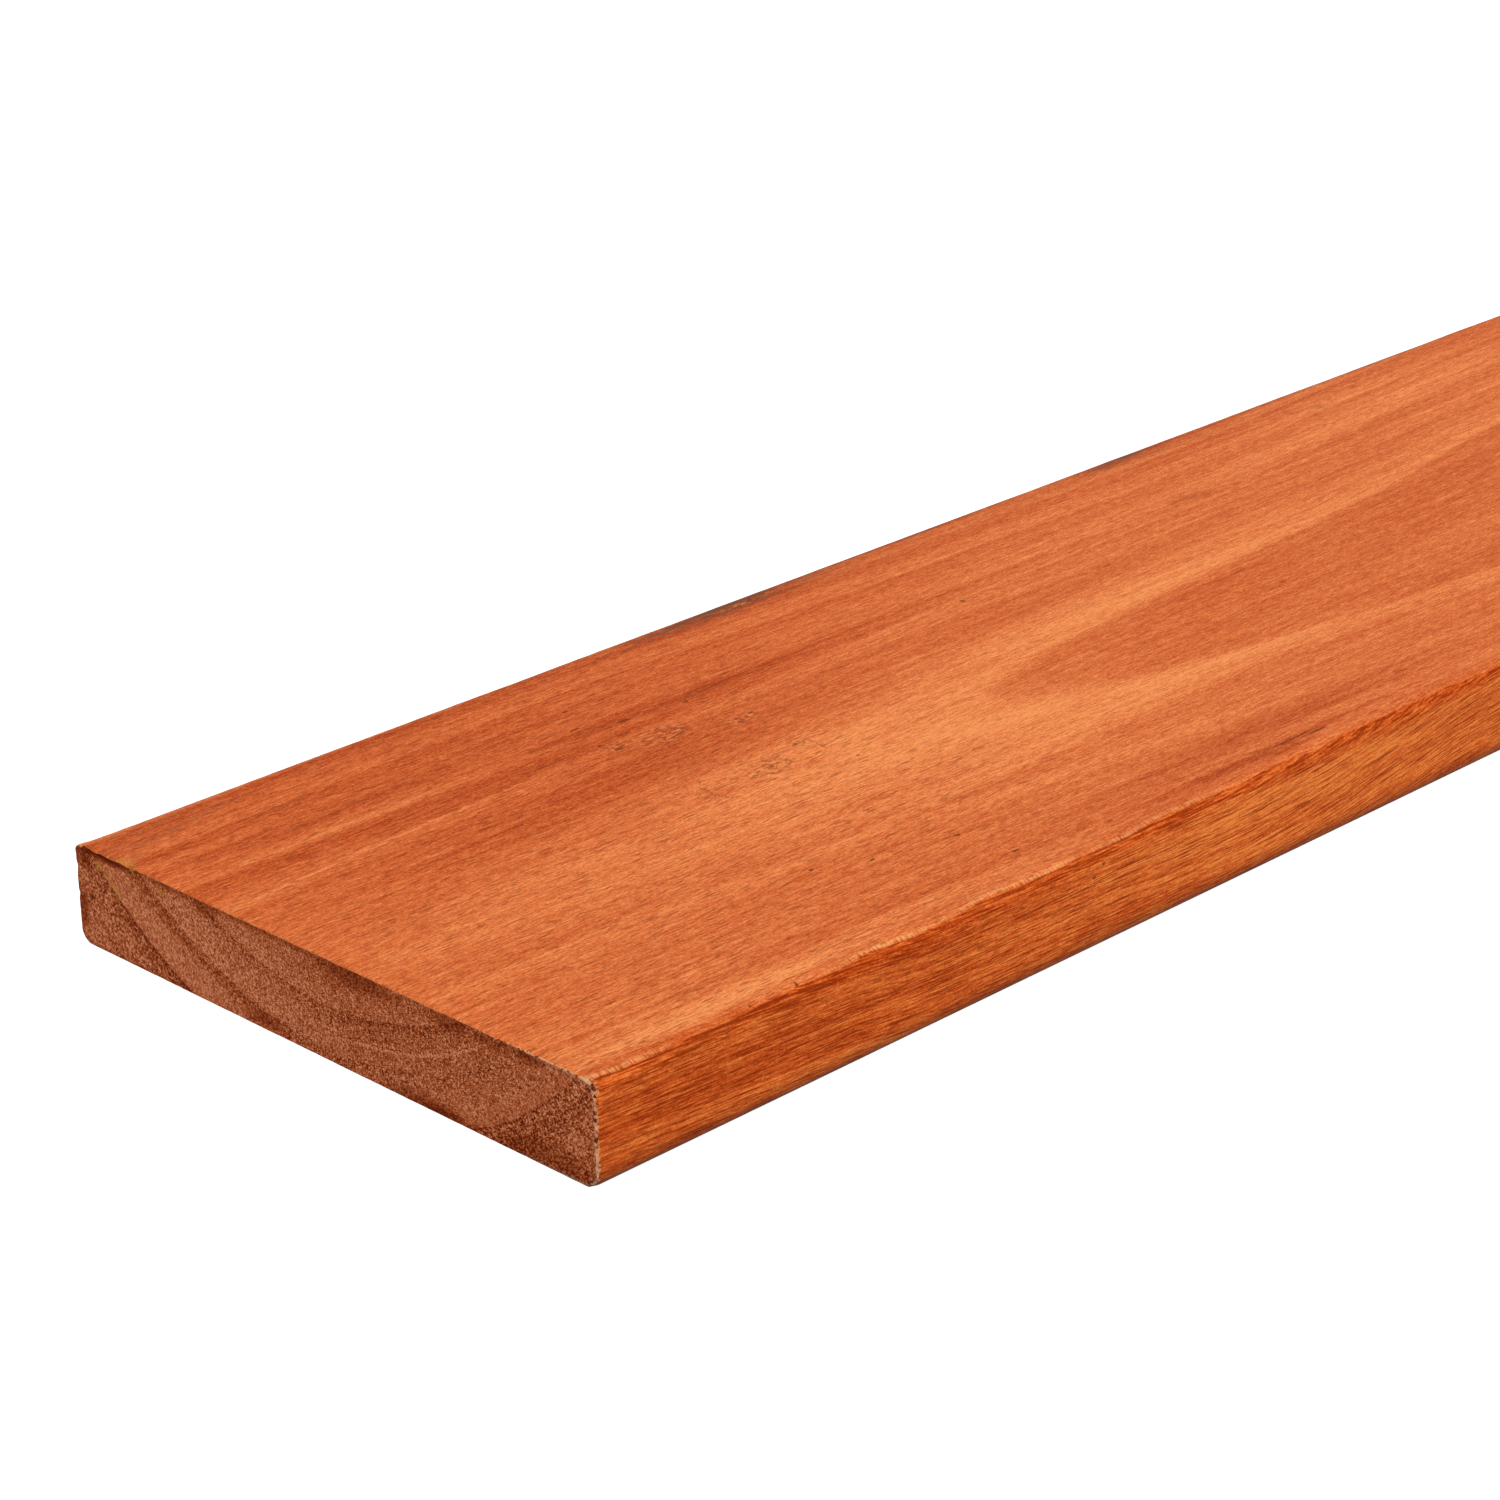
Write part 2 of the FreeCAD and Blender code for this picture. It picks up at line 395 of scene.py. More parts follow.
def section_at(run):
    """Place and outward direction on the section, run mm round from the middle of the underside."""
    stretches = [TOP_FLAT / 2, ARRIS_RUN, SIDE_FLAT, ARRIS_RUN]
    side, back = -1.0, run > GIRTH / 2
    if back:
        side, run = 1.0, GIRTH - run
    if run <= stretches[0]:
        return side * run, 0.0, 0.0, -1.0
    run -= stretches[0]
    low, high = ARRIS, THICKNESS - ARRIS
    centre = HALF_WIDTH - ARRIS
    if run <= stretches[1]:
        turn = run / ARRIS
        across, up = math.sin(turn), -math.cos(turn)
        return side * (centre + ARRIS * across), low + ARRIS * up, side * across, up
    run -= stretches[1]
    if run <= stretches[2]:
        return side * HALF_WIDTH, low + run, side, 0.0
    run -= stretches[2]
    if run <= stretches[3]:
        turn = run / ARRIS
        across, up = math.cos(turn), math.sin(turn)
        return side * (centre + ARRIS * across), high + ARRIS * up, side * across, up
    run -= stretches[3]
    return side * (centre - run), THICKNESS, 0.0, 1.0


def ring_runs(fineness):
    """Runs round the section at which one ring of the mesh has its points, the last one closing it."""
    arris = (ARRIS_RUN, ARRIS_STEPS)
    half = [(TOP_FLAT / 2, HALF_UNDERSIDE_STEPS), arris, (SIDE_FLAT, SIDE_STEPS), arris]
    stretches = half + [(TOP_FLAT, TOP_STEPS)] + half[::-1]
    runs = [0.0]
    for length, steps in stretches:
        start = runs[-1]
        runs += [start + length * (i + 1) / (steps * fineness) for i in range(steps * fineness)]
    return runs


def station_places():
    """Distances from the near end of the body's rings."""
    places = [END_BAND]
    for until, steps in STATIONS:
        start = places[-1]
        places += [start + (until - start) * (i + 1) / steps for i in range(steps)]
    return places


def bowl(place, centre, half):
    """1 in the middle of an oval hollow, falling smoothly to 0 at its rim."""
    far = sum(((a - b) / h) ** 2 for a, b, h in zip(place, centre, half))
    return (1 - far) ** 2 if far < 1 else 0.0


def wear(u, v, w, from_middle):
    """Depth in mm by which the planed surface lies below the true section."""
    depth = PLANED_WAVE * (0.5 + 0.5 * ripple(u / 70, v / 9, w / 9, 1))
    off_arris = from_middle - TOP_FLAT / 2 - ARRIS_RUN / 2
    on_arris = math.exp(-(off_arris / ARRIS_WAVE_SPREAD) ** 2)
    waves = 0.5 + 0.5 * ripple(u / 16, v / 20, 0.0, 2) + 0.25 * ripple(u / 3.1, v / 9, 0.0, 3)
    depth += ARRIS_WAVE * on_arris * waves
    for centre, half, deep in DENTS:
        if abs(u - centre[0]) < half[0]:
            rough = 0.75 + 0.5 * ripple(u / 0.9, v / 0.9, 0.0, 4)
            depth += deep * rough * bowl((u, v, w), centre, half)
    return depth


def rim_wear(depth, from_middle, v, near):
    """Depth in mm by which the rim of a sawn end is rounded and chipped, at a depth behind the end."""
    worn = END_ROUNDING * max(0.0, 1 - depth / END_ROUNDING_DEPTH) ** 2
    fray = 0.5 + 0.5 * ripple(from_middle / 1.1, v / 3, 0.0, 5 if near else 6)
    worn += RIM_FRAY * max(0.0, 1 - depth / RIM_FRAY_DEPTH) * fray
    signed = math.copysign(from_middle, v)
    for centre, half, deep in CHIPS:
        far = abs(signed - (centre if near else -centre)) / half
        if far < 1:
            worn += deep * (1 - far * far) * max(0.0, 1 - depth / (2.4 * deep + 0.4)) ** 1.5
    if near:
        for centre, half, high in LIPS:
            far = abs(signed - centre) / half
            if far < 1:
                worn -= high * (1 - far * far) * max(0.0, 1 - depth / LIP_LENGTH)
    return worn


def end_hollow(v, w, near):
    """Depth in mm of the sawn end's surface below its true plane."""
    pits = 1 + ripple(v / 1.3, w / 1.3, 0.0, 7)
    lines = 1 + ripple(v / 0.7, w / 9, 0.0, 8)
    depth = SAW_PITS * pits + SAW_LINES * lines
    if near:
        for centre, half, deep in TEARS:
            rough = 0.8 + 0.4 * ripple(v / 0.8, w / 0.8, 0.0, 9)
            depth += deep * rough * bowl((v, w), centre, half)
    return depth


class BoardMesh:
    """Gathers the points and faces of the board, with the bake layout of every face corner."""

    def __init__(self):
        self.points, self.from_middle = [], []
        self.faces, self.kinds, self.layout = [], [], []

    def point(self, u, v, w, from_middle):
        self.points.append(((u + LOW[0]) * MM, v * MM, w * MM))
        self.from_middle.append(from_middle)
        return len(self.points) - 1

    def face(self, corners, layout, kind):
        self.faces.append(corners)
        self.layout += layout
        self.kinds.append(kind)


# The bake layout, in pixels of a 1024 map. Strips of the girth: (u from, u to, pixels a mm, left, bottom)
MAP = 1024.0
STRIPS = [
    (0.0, 520.0, 1.92, 8.0, 8.0),
    (520.0, 1160.0, 0.78, 8.0, 646.0),
    (1160.0, LENGTH, 0.78, 516.0, 646.0),
]
# The near and the far end: (left, bottom), and pixels a mm
END_STRIPS = [(8.0, 914.0), (516.0, 914.0)]
END_SCALE = 3.3

# Kinds of face, in the order of the board's materials, and how far marked ones reach round a mark
FLAT, SAWN, MARKED, RIM, EDGE = range(5)
MARK_MARGIN = 2.0


def strip_place(u, run, strip):
    """Place in the bake layout of a point on the girth."""
    start, _, scale, left, bottom = strip
    return (left + (u - start) * scale) / MAP, (bottom + run * scale) / MAP


def strip_of(u):
    """The strip of the bake layout that holds a stretch of the board."""
    return next(strip for strip in STRIPS if u <= strip[1] + 1e-6)


def ring_points(board, u, runs, near, depth=None):
    """One ring of points round the board at u; with a depth behind an end, its rim is worn too."""
    ring = []
    for run in runs[:-1]:
        v, w, across, up = section_at(run)
        from_middle = abs(run - GIRTH / 2)
        sunk = wear(u, v, w, from_middle)
        if depth is not None:
            sunk += rim_wear(depth, from_middle, v, near)
        ring.append(board.point(u, v - across * sunk, w - up * sunk, from_middle))
    return ring


def join_rings(board, first, second, u_first, u_second, runs, kind):
    """Quads between two rings of the same fineness."""
    strip = strip_of((u_first + u_second) / 2)
    count = len(first)
    for i in range(count):
        j = (i + 1) % count
        places = [(u_first, runs[i]), (u_second, runs[i]), (u_second, runs[i + 1]), (u_first, runs[i + 1])]
        layout = [strip_place(u, run, strip) for u, run in places]
        board.face((first[i], second[i], second[j], first[j]), layout, kind)


def join_fine(board, fine, coarse, u_fine, u_coarse, fine_runs, coarse_runs, near):
    """Triangles and quads from an end's fine ring to the body's first coarse one."""
    strip = strip_of((u_fine + u_coarse) / 2)
    step, count = END_FINENESS, len(coarse)
    for i in range(count):
        j = (i + 1) % count
        fines = []
        for k in range(i * step, i * step + step + 1):
            fines.append((fine[k % len(fine)], (u_fine, fine_runs[k])))
        start = (coarse[i], (u_coarse, coarse_runs[i]))
        stop = (coarse[j], (u_coarse, coarse_runs[i + 1]))
        fans = [[start, fines[0], fines[1]], [start, fines[1], fines[2], stop], [stop, fines[2], fines[3]]]
        for fan in fans:
            if near:
                fan = fan[::-1]
            board.face([p for p, _ in fan], [strip_place(u, run, strip) for _, (u, run) in fan], RIM)


def end_cap(board, ring, near):
    """The sawn end: a fine sheet of triangles inside the rim, sunk a little where the grain is torn."""
    rim = [(board.points[p][1] / MM, board.points[p][2] / MM) for p in ring]
    inner = []
    for v, w in rim:
        centre_v = max(-HALF_WIDTH + THICKNESS / 2, min(HALF_WIDTH - THICKNESS / 2, v))
        pull = Vector((centre_v - v, THICKNESS / 2 - w)).normalized() * END_RIM_STEP
        inner.append((v + pull.x, w + pull.y))
    rows = int(THICKNESS / (END_GRAIN_SPACING * TRIANGLE_HEIGHT))
    grid = []
    for row in range(1, rows):
        w = THICKNESS * row / rows
        for column in range(int(WIDTH / END_GRAIN_SPACING)):
            v = -HALF_WIDTH + END_GRAIN_SPACING * (column + 0.5 * (row % 2) + 0.25)
            off_v = max(0.0, abs(v) - HALF_WIDTH + ARRIS)
            off_w = max(0.0, abs(w - THICKNESS / 2) - THICKNESS / 2 + ARRIS)
            if math.hypot(off_v, off_w) < ARRIS - END_GRID_GAP:
                grid.append((v, w))
    flat = rim + inner + grid
    count = len(rim)
    edges = [(i, (i + 1) % count) for i in range(count)]
    sheet = geometry.delaunay_2d_cdt([Vector(p) for p in flat], edges, [], 1, 1e-6)
    placed, _, faces, sources, _, _ = sheet
    names = []
    for (v, w), source in zip(placed, sources):
        if source and source[0] < count:
            names.append(ring[source[0]])
        else:
            hollow = end_hollow(v, w, near)
            names.append(board.point(hollow if near else LENGTH - hollow, v, w, 0.0))
    left, bottom = END_STRIPS[0 if near else 1]
    for face in faces:
        face = list(face)[::-1] if near else list(face)
        corners = [names[i] for i in face]
        layout = []
        for v, w in (placed[i] for i in face):
            layout.append(((left + (v + HALF_WIDTH) * END_SCALE) / MAP, (bottom + w * END_SCALE) / MAP))
        board.face(corners, layout, SAWN)


def end_of_board(board, body_ring, body_u, coarse_runs, near):
    """The last few millimetres of the board at one end: fine rings, worn rim and sawn face."""
    fine_runs = ring_runs(END_FINENESS)
    rings = []
    for depth in END_DEPTHS:
        u = depth if near else LENGTH - depth
        rings.append((u, ring_points(board, u, fine_runs, near, depth)))
    for (u_first, first), (u_second, second) in zip(rings, rings[1:]):
        if near:
            join_rings(board, first, second, u_first, u_second, fine_runs, RIM)
        else:
            join_rings(board, second, first, u_second, u_first, fine_runs, RIM)
    u_last, last = rings[-1]
    join_fine(board, last, body_ring, u_last, body_u, fine_runs, coarse_runs, near)
    end_cap(board, rings[0][1], near)


def patch_layers(places):
    """Tone and greyness at each place: broad zones, and patches with edges feathered along the grain."""
    feather = []
    for u, v, w in places:
        feather.append([ripple(u / 60, v / 1.3, w / 1.3, seed) for seed in (11, 12)])
    feathered = places.copy()
    feathered[:, :2] += np.array(feather) * PATCH_FEATHER
    tone = np.array([ZONE_TONE * ripple(u / 120, v / 17, w / 17, 13) for u, v, w in places])
    grey = np.zeros(len(places))
    for centre, half, tint, greyness in PATCHES:
        inside = np.clip((1 - np.linalg.norm((feathered - centre) / half, axis=1)) / PATCH_FADE, 0, 1)
        spot = inside * inside * (3 - 2 * inside)
        tone += tint * spot
        grey += greyness * spot
    return tone, grey


def edge_starts(places):
    """Run from the middle of the top at which the edge's own grain starts, at each place."""
    starts = []
    for u, v, w in places:
        waver = ripple(u / 17, v / 30, w / 30, 14) + 0.5 * ripple(u / 8, v / 15, w / 15, 15)
        starts.append(TOP_FLAT / 2 + EDGE_START + EDGE_WAVER * waver)
    return starts


def edge_faces(from_middle, starts, stops):
    """Which faces lie on the long edges or close to them, by two opposite corners of each."""
    runs = from_middle[[starts, stops]]
    return (runs.max(axis=0) > EDGE_REACH[0]) & (runs.min(axis=0) < EDGE_REACH[1])


def marked_faces(middles):
    """Which faces lie where the wood is scuffed, marked or scratched, by the places of their middles."""
    spots = [(centre, half) for centre, half, _ in SCUFFS] + MARKS
    for points in SCRATCHES:
        v, u = np.array(points).T
        spots.append(((u.mean(), v.mean(), THICKNESS), (np.ptp(u) / 2, np.ptp(v) / 2, ARRIS)))
    marked = np.zeros(len(middles), bool)
    for centre, half in spots:
        marked |= np.all(np.abs(middles - centre) < np.array(half) + MARK_MARGIN, axis=1)
    return marked


def board_object(materials):
    """The whole board as one closed mesh."""
    board = BoardMesh()
    runs = ring_runs(1)
    stations = station_places()
    rings = [ring_points(board, u, runs, True) for u in stations]
    for k in range(len(stations) - 1):
        join_rings(board, rings[k], rings[k + 1], stations[k], stations[k + 1], runs, FLAT)
    end_of_board(board, rings[0], stations[0], runs, True)
    end_of_board(board, rings[-1], stations[-1], runs, False)

    mesh = bpy.data.meshes.new("hardwood_board")
    mesh.from_pydata(board.points, [], board.faces)
    mesh.uv_layers.new(name="OFBake").data.foreach_set("uv", np.array(board.layout).ravel())
    places = np.array(board.points) / MM - (LOW[0], 0.0, 0.0)
    patch_tone, patch_grey = patch_layers(places)
    layers = {
        "from_middle": board.from_middle,
        "patch_tone": patch_tone,
        "patch_grey": patch_grey,
        "edge_start": edge_starts(places),
    }
    for name, values in layers.items():
        mesh.attributes.new(name, "FLOAT", "POINT").data.foreach_set("value", values)
    starts, stops = ([face[k] for face in board.faces] for k in (0, 2))
    kinds = np.array(board.kinds)
    flat = kinds == FLAT
    kinds[flat & edge_faces(np.array(board.from_middle), starts, stops)] = EDGE
    kinds[flat & marked_faces((places[starts] + places[stops]) / 2)] = MARKED
    for material in materials:
        mesh.materials.append(material)
    mesh.polygons.foreach_set("material_index", kinds)
    mesh.polygons.foreach_set("use_smooth", [True] * len(board.faces))
    mesh.update()
    piece = bpy.data.objects.new("hardwood_board", mesh)
    bpy.context.scene.collection.objects.link(piece)
    return piece


class Shader:
    """Short ways to add nodes to one material. A value is a number, a vector or another node's output."""

    def __init__(self, name):
        self.material = bpy.data.materials.new(name)
        self.material.use_nodes = True
        self.tree = self.material.node_tree
        self.surface = self.tree.nodes["Principled BSDF"]

    def node(self, kind, values=None, **settings):
        node = self.tree.nodes.new("ShaderNode" + kind)
        for name, value in settings.items():
            setattr(node, name, value)
        for key, value in (values or {}).items():
            self.put(node.inputs[key], value)
        return node

    def put(self, socket, value):
        if isinstance(value, bpy.types.NodeSocket):
            self.tree.links.new(value, socket)
        else:
            socket.default_value = value

    def math(self, operation, a, b=0.0, c=0.0):
        return self.node("Math", {0: a, 1: b, 2: c}, operation=operation).outputs[0]

    def add(self, *terms):
        total = terms[0]
        for term in terms[1:]:
            total = self.math("ADD", total, term)
        return total

    def minus(self, a, b):
        return self.math("SUBTRACT", a, b)

    def times(self, *factors):
        product = factors[0]
        for factor in factors[1:]:
            product = self.math("MULTIPLY", product, factor)
        return product

    def attribute(self, name):
        return self.node("Attribute", attribute_name=name).outputs["Fac"]

    def swing(self, value, amount, middle=0.5):
        """value - middle, times amount."""
        return self.math("MULTIPLY_ADD", value, amount, -middle * amount)

    def vector(self, x, y, z):
        return self.node("CombineXYZ", {0: x, 1: y, 2: z}).outputs[0]

    def parts(self, vector):
        return self.node("SeparateXYZ", {0: vector}).outputs

    def scaled(self, vector, factors, shift=(0.0, 0.0, 0.0)):
        return self.node("VectorMath", {0: vector, 1: factors, 2: shift}, operation="MULTIPLY_ADD").outputs[0]

    def step(self, value, start, stop):
        """0 at start to 1 at stop, smoothly."""
        values = {"Value": value, "From Min": start, "From Max": stop}
        return self.node("MapRange", values, interpolation_type="SMOOTHSTEP").outputs[0]

    def noise(self, vector, sizes, seed, detail=2.0, rough=0.5):
        """Noise from 0 to 1 whose grains are about sizes mm long."""
        place = self.scaled(vector, [1 / s for s in sizes], (seed * 7.3, seed * 3.1, seed * 5.7))
        values = {"Vector": place, "Scale": 1.0, "Detail": detail, "Roughness": rough}
        return self.node("TexNoise", values).outputs

    def curve(self, value, points, bend="AUTO"):
        """A line through given points, as a function of value, smooth or with straight stretches."""
        xs, ys = zip(*points)
        low, high = min(ys), max(ys)
        fac = self.node("MapRange", {"Value": value, "From Min": xs[0], "From Max": xs[-1]}).outputs[0]
        node = self.node("FloatCurve", {"Value": fac})
        line = node.mapping.curves[0]
        for i, (x, y) in enumerate(points):
            place = ((x - xs[0]) / (xs[-1] - xs[0]), (y - low) / (high - low))
            if i == 0:
                line.points[0].location = place
            elif i == len(points) - 1:
                line.points[-1].location = place
            else:
                line.points.new(*place)
        for point in line.points:
            point.handle_type = bend
        node.mapping.update()
        return self.math("MULTIPLY_ADD", node.outputs[0], high - low, low)

    def spot(self, place, centre, half):
        """1 in the middle of an oval patch of the wood, falling to 0 at its rim."""
        factors = [1 / h for h in half]
        shift = [-c / h for c, h in zip(centre, half)]
        offset = self.scaled(place, factors, shift)
        far = self.node("VectorMath", {0: offset}, operation="LENGTH").outputs["Value"]
        return self.step(far, 1.0, 0.15)

    def ramp(self, value, stops):
        node = self.node("ValToRGB", {0: value})
        elements = node.color_ramp.elements
        elements[0].position, elements[1].position = stops[0][0], stops[-1][0]
        for position, _ in stops[1:-1]:
            elements.new(position)
        for element, (_, colour) in zip(elements, stops):
            element.color = (*colour, 1.0)
        return node.outputs[0]

    def mix(self, amount, under, over, blend="MIX"):
        node = self.node("Mix", data_type="RGBA", blend_type=blend)
        sockets = [s for s in node.inputs if s.enabled]
        for socket, value in zip(sockets, (amount, under, over)):
            self.put(socket, (*value, 1.0) if isinstance(value, tuple) else value)
        return next(s for s in node.outputs if s.enabled)

    def finish(self, colour, rough, specular, height, relief):
        """The whole surface: its colour, its gloss, and the relief that height gives it."""
        inputs = self.surface.inputs
        self.put(inputs["Base Color"], colour)
        self.put(inputs["Roughness"], rough)
        self.put(inputs["Specular IOR Level"], specular)
        self.put(inputs["Normal"], self.node("Bump", {**relief, "Height": height}).outputs[0])
        return self.material


def growth(shader, edged=True):
    """Where a point lies in the tree: place, place along the fibres, ring radius, arc round the pith."""
    coords = shader.node("TexCoord").outputs["Object"]
    place = shader.scaled(coords, (1 / MM,) * 3, (-LOW[0], 0.0, 0.0))
    u, v, w = shader.parts(place)
    wander = shader.parts(shader.noise(place, WANDER_GRAIN, 1, 0.0)[1])
    swept = w
    if edged:
        by_front = shader.step(v, *SWEEP_FADE)
        swept = shader.minus(w, shader.times(shader.curve(u, EDGE_SWEEP), by_front))
    side = shader.add(v, shader.swing(wander[0], WANDER[0]))
    across = shader.minus(side, shader.curve(u, PITH_ACROSS))
    pith = shader.add(shader.curve(u, PITH_HEIGHT), shader.swing(wander[1], WANDER[1]))
    below = shader.minus(pith, swept)
    radius = shader.math("SQRT", shader.math("MULTIPLY_ADD", across, across, shader.times(below, below)))
    arc = shader.times(shader.math("ARCTAN2", across, below), ARC_RADIUS)
    return place, shader.vector(u, v, swept), radius, arc


def wood_layers(shader, edged):
    """Where a point of the planed wood lies, and its noises from broad bands down to single threads."""
    place, fibre_place, radius, arc = growth(shader, edged)
    u, v, w = shader.parts(place)
    grain = shader.vector(u, radius, arc)
    curl = shader.times(shader.noise(place, CURL_GRAIN, 17, 0.0)[0], CURL)
    curly_place = shader.node("VectorMath", {0: shader.vector(0.0, curl, curl), 1: fibre_place}).outputs[0]
    return SimpleNamespace(
        place=place, fibre_place=fibre_place, u=u, v=v, w=w, radius=radius,
        bands=shader.noise(grain, BAND_GRAIN, 2, 1.0)[0],
        streaks=shader.noise(grain, STREAK_GRAIN, 3, 2.0, 0.62)[0],
        strands=shader.noise(fibre_place, STRAND_GRAIN, 4, 1.0, 0.65)[0],
        fibres=shader.noise(curly_place, FIBRE_GRAIN, 5, 2.0, 0.7)[0],
        threads=shader.noise(curly_place, THREAD_GRAIN, 6, 1.0, 0.6)[0],
        pores=shader.noise(curly_place, PORE_GRAIN, 11, 0.0)[0],
        grit=shader.noise(place, GRIT_GRAIN, 15, 0.0)[0])


def edge_layers(shader, wood):
    """Adds how far round the long edges a point lies, and the dark lines of their grain."""
    wood.from_middle = shader.attribute("from_middle")
    wood.edge_run = shader.minus(wood.from_middle, shader.attribute("edge_start"))
    wood.on_edge = shader.math(
        "MINIMUM", shader.step(wood.edge_run, 0.2, 0.9), shader.step(wood.from_middle, *EDGE_FADE))
    wood.lines = shader.noise(wood.fibre_place, LINE_GRAIN, 16, 2.0, 0.7)[0]


def planed_tone(shader, wood):
    """How bright the planed wood is, from dark 0 to bright 1."""
    off_line = shader.math("ABSOLUTE", shader.minus(wood.v, shader.curve(wood.u, PALE_LINE)))
    pale_line = shader.times(shader.step(off_line, 0.9, 0.1), shader.step(wood.w, *WALKING_FACE_FADE))
    return shader.add(
        BASE_TONE,
        shader.attribute("patch_tone"),
        shader.curve(wood.radius, RING_TONE, "VECTOR"),
        shader.swing(wood.bands, BAND_TONE),
        shader.swing(wood.streaks, STREAK_TONE),
        shader.swing(wood.strands, STRAND_TONE),
        shader.swing(wood.fibres, FIBRE_TONE),
        shader.swing(wood.threads, THREAD_TONE),
        shader.swing(wood.grit, GRIT_TONE),
        shader.times(pale_line, shader.curve(wood.u, PALE_LINE_SHARE), PALE_LINE_TONE))


def edge_tone(shader, wood):
    """What the long edges add to the tone: stronger streaks and lines, and painted shade on the top arris."""
    # Painted shade: the top arris is darkened in colour
    on_arris = shader.step(wood.from_middle, *ARRIS_FADE)
    added = shader.add(
        shader.swing(wood.streaks, EDGE_STREAK_TONE),
        shader.swing(wood.threads, EDGE_THREAD_TONE),
        shader.swing(wood.lines, LINE_TONE),
        shader.times(on_arris, TOP_ARRIS_SHADE))
    return shader.times(added, wood.on_edge)


def edge_colour(shader, wood, colour):
    """The long edges cut other rings: a warmer tint, dark lines, and painted shade that darkens the lower
    arris.
    """
    colour = shader.mix(wood.on_edge, colour, shader.mix(1.0, colour, EDGE_TINT, "MULTIPLY"))
    below_arris = shader.times(shader.step(wood.edge_run, 0.3, 1.0), shader.step(wood.edge_run, 5.0, 2.2))
    darker = shader.times(below_arris, shader.curve(wood.u, DARK_ARRIS))
    line = shader.step(shader.math("MULTIPLY_ADD", darker, -0.09, wood.lines), 0.46, 0.36)
    colour = shader.mix(shader.times(line, wood.on_edge, EDGE_LINE_COVER), colour, EDGE_LINE)
    # Painted shade: the bottom of the side and the lower arris are darkened in colour, fading out on the
    # underside
    lower_shade = shader.step(wood.from_middle, *LOWER_SHADE_FADE)
    deeper_shade = shader.step(wood.from_middle, *DEEPER_SHADE_FADE)
    painted_shade = shader.add(shader.times(lower_shade, LOWER_SHADE_COVER), shader.times(deeper_shade, DEEPER_SHADE_COVER))
    above_underside = shader.step(wood.from_middle, *UNDERSIDE_FADE)
    return shader.mix(shader.times(painted_shade, above_underside), colour, LOWER_ARRIS_SHADE)


def worn_highlit_arris(shader, wood, colour):
    """Pale worn fibres and a painted highlight, with fine chatter across them, in stretches along the top
    arris.
    """
    band = shader.times(shader.step(wood.edge_run, -0.7, 0.1), shader.step(wood.edge_run, 1.1, 0.4))
    chatter = shader.noise(wood.place, CHATTER_GRAIN, 10, 0.0)[0]
    stretches = shader.curve(wood.u, WORN_HIGHLIT_ARRIS, "VECTOR")
    # Worn pale fibres and painted highlight, in stretches along the top arris
    worn = shader.times(band, stretches, shader.step(chatter, 0.36, 0.58), WORN_HIGHLIGHT_COVER)
    return shader.mix(worn, colour, WORN_FIBRE_AND_HIGHLIGHT)


def marks(shader, wood, colour):
    """Scuffs of fine wrinkles, small dark marks and jagged scratches."""
    wrinkles = shader.noise(wood.place, WRINKLE_GRAIN, 12, 1.0, 0.6)[0]
    scuffed = 0.0
    for centre, half, strength in SCUFFS:
        scuffed = shader.math("MULTIPLY_ADD", shader.spot(wood.place, centre, half), strength, scuffed)
    scuffed = shader.step(scuffed, 0.20, 1.0)
    pale = shader.times(shader.step(wrinkles, 0.56, 0.68), scuffed, SCUFF_PALE_COVER)
    colour = shader.mix(pale, colour, WORN_FIBRE_AND_HIGHLIGHT)
    marked = shader.times(shader.step(wrinkles, 0.50, 0.38), scuffed, SCUFF_DARK_COVER)
    for centre, half in MARKS:
        spot = shader.math("MULTIPLY_ADD", wrinkles, 1.5, shader.spot(wood.place, centre, half))
        marked = shader.math("MAXIMUM", marked, shader.times(shader.step(spot, 1.05, 1.60), MARK_COVER))
    jagged = shader.math("MULTIPLY_ADD", shader.swing(wrinkles, 1.0), 2.4, wood.u)
    on_top = shader.step(wood.w, *WALKING_FACE_FADE)
    for points in SCRATCHES:
        start, stop = points[0][0], points[-1][0]
        off = shader.math("ABSOLUTE", shader.minus(jagged, shader.curve(wood.v, points, "VECTOR")))
        inside = shader.times(shader.step(wood.v, start - 0.6, start), shader.step(wood.v, stop + 0.6, stop))
        scratch = shader.times(shader.step(off, 0.30, 0.06), inside, on_top, SCRATCH_COVER)
        marked = shader.math("MAXIMUM", marked, scratch)
    return shader.mix(marked, colour, DARK_SPECK)


def end_fringe(shader, wood, colour):
    """Pale torn fibres with dark pits along the front rim of a sawn end."""
    from_half = shader.math("ABSOLUTE", shader.minus(wood.u, LENGTH / 2))
    end_gap = shader.minus(LENGTH / 2, from_half)
    ragged = shader.step(shader.noise(wood.place, FRINGE_GRAIN, 13, 2.0, 0.7)[0], 0.34, 0.66)
    corner = shader.spot(wood.place, *FRAYED_CORNER)
    reach = shader.add(
        shader.times(shader.step(wood.v, -40.0, -60.0), 0.25),
        shader.times(shader.step(wood.v, -68.0, -72.0), 0.35),
        shader.times(corner, 0.90))
    fringe = shader.step(shader.math("MULTIPLY_ADD", shader.times(ragged, reach), -1.4, end_gap), 0.10, -0.10)
    pits = shader.step(shader.noise(wood.place, PIT_GRAIN, 14, 0.0)[0], 0.56, 0.64)
    colour = shader.mix(shader.times(fringe, FRINGE_COVER), colour, PALE_FIBRE)
    colour = shader.mix(shader.times(fringe, pits), colour, DARK_SPECK)
    golden = shader.spot(wood.place, *GOLDEN_RIM)
    return shader.mix(shader.times(golden, ragged), colour, GOLD_SPECK)


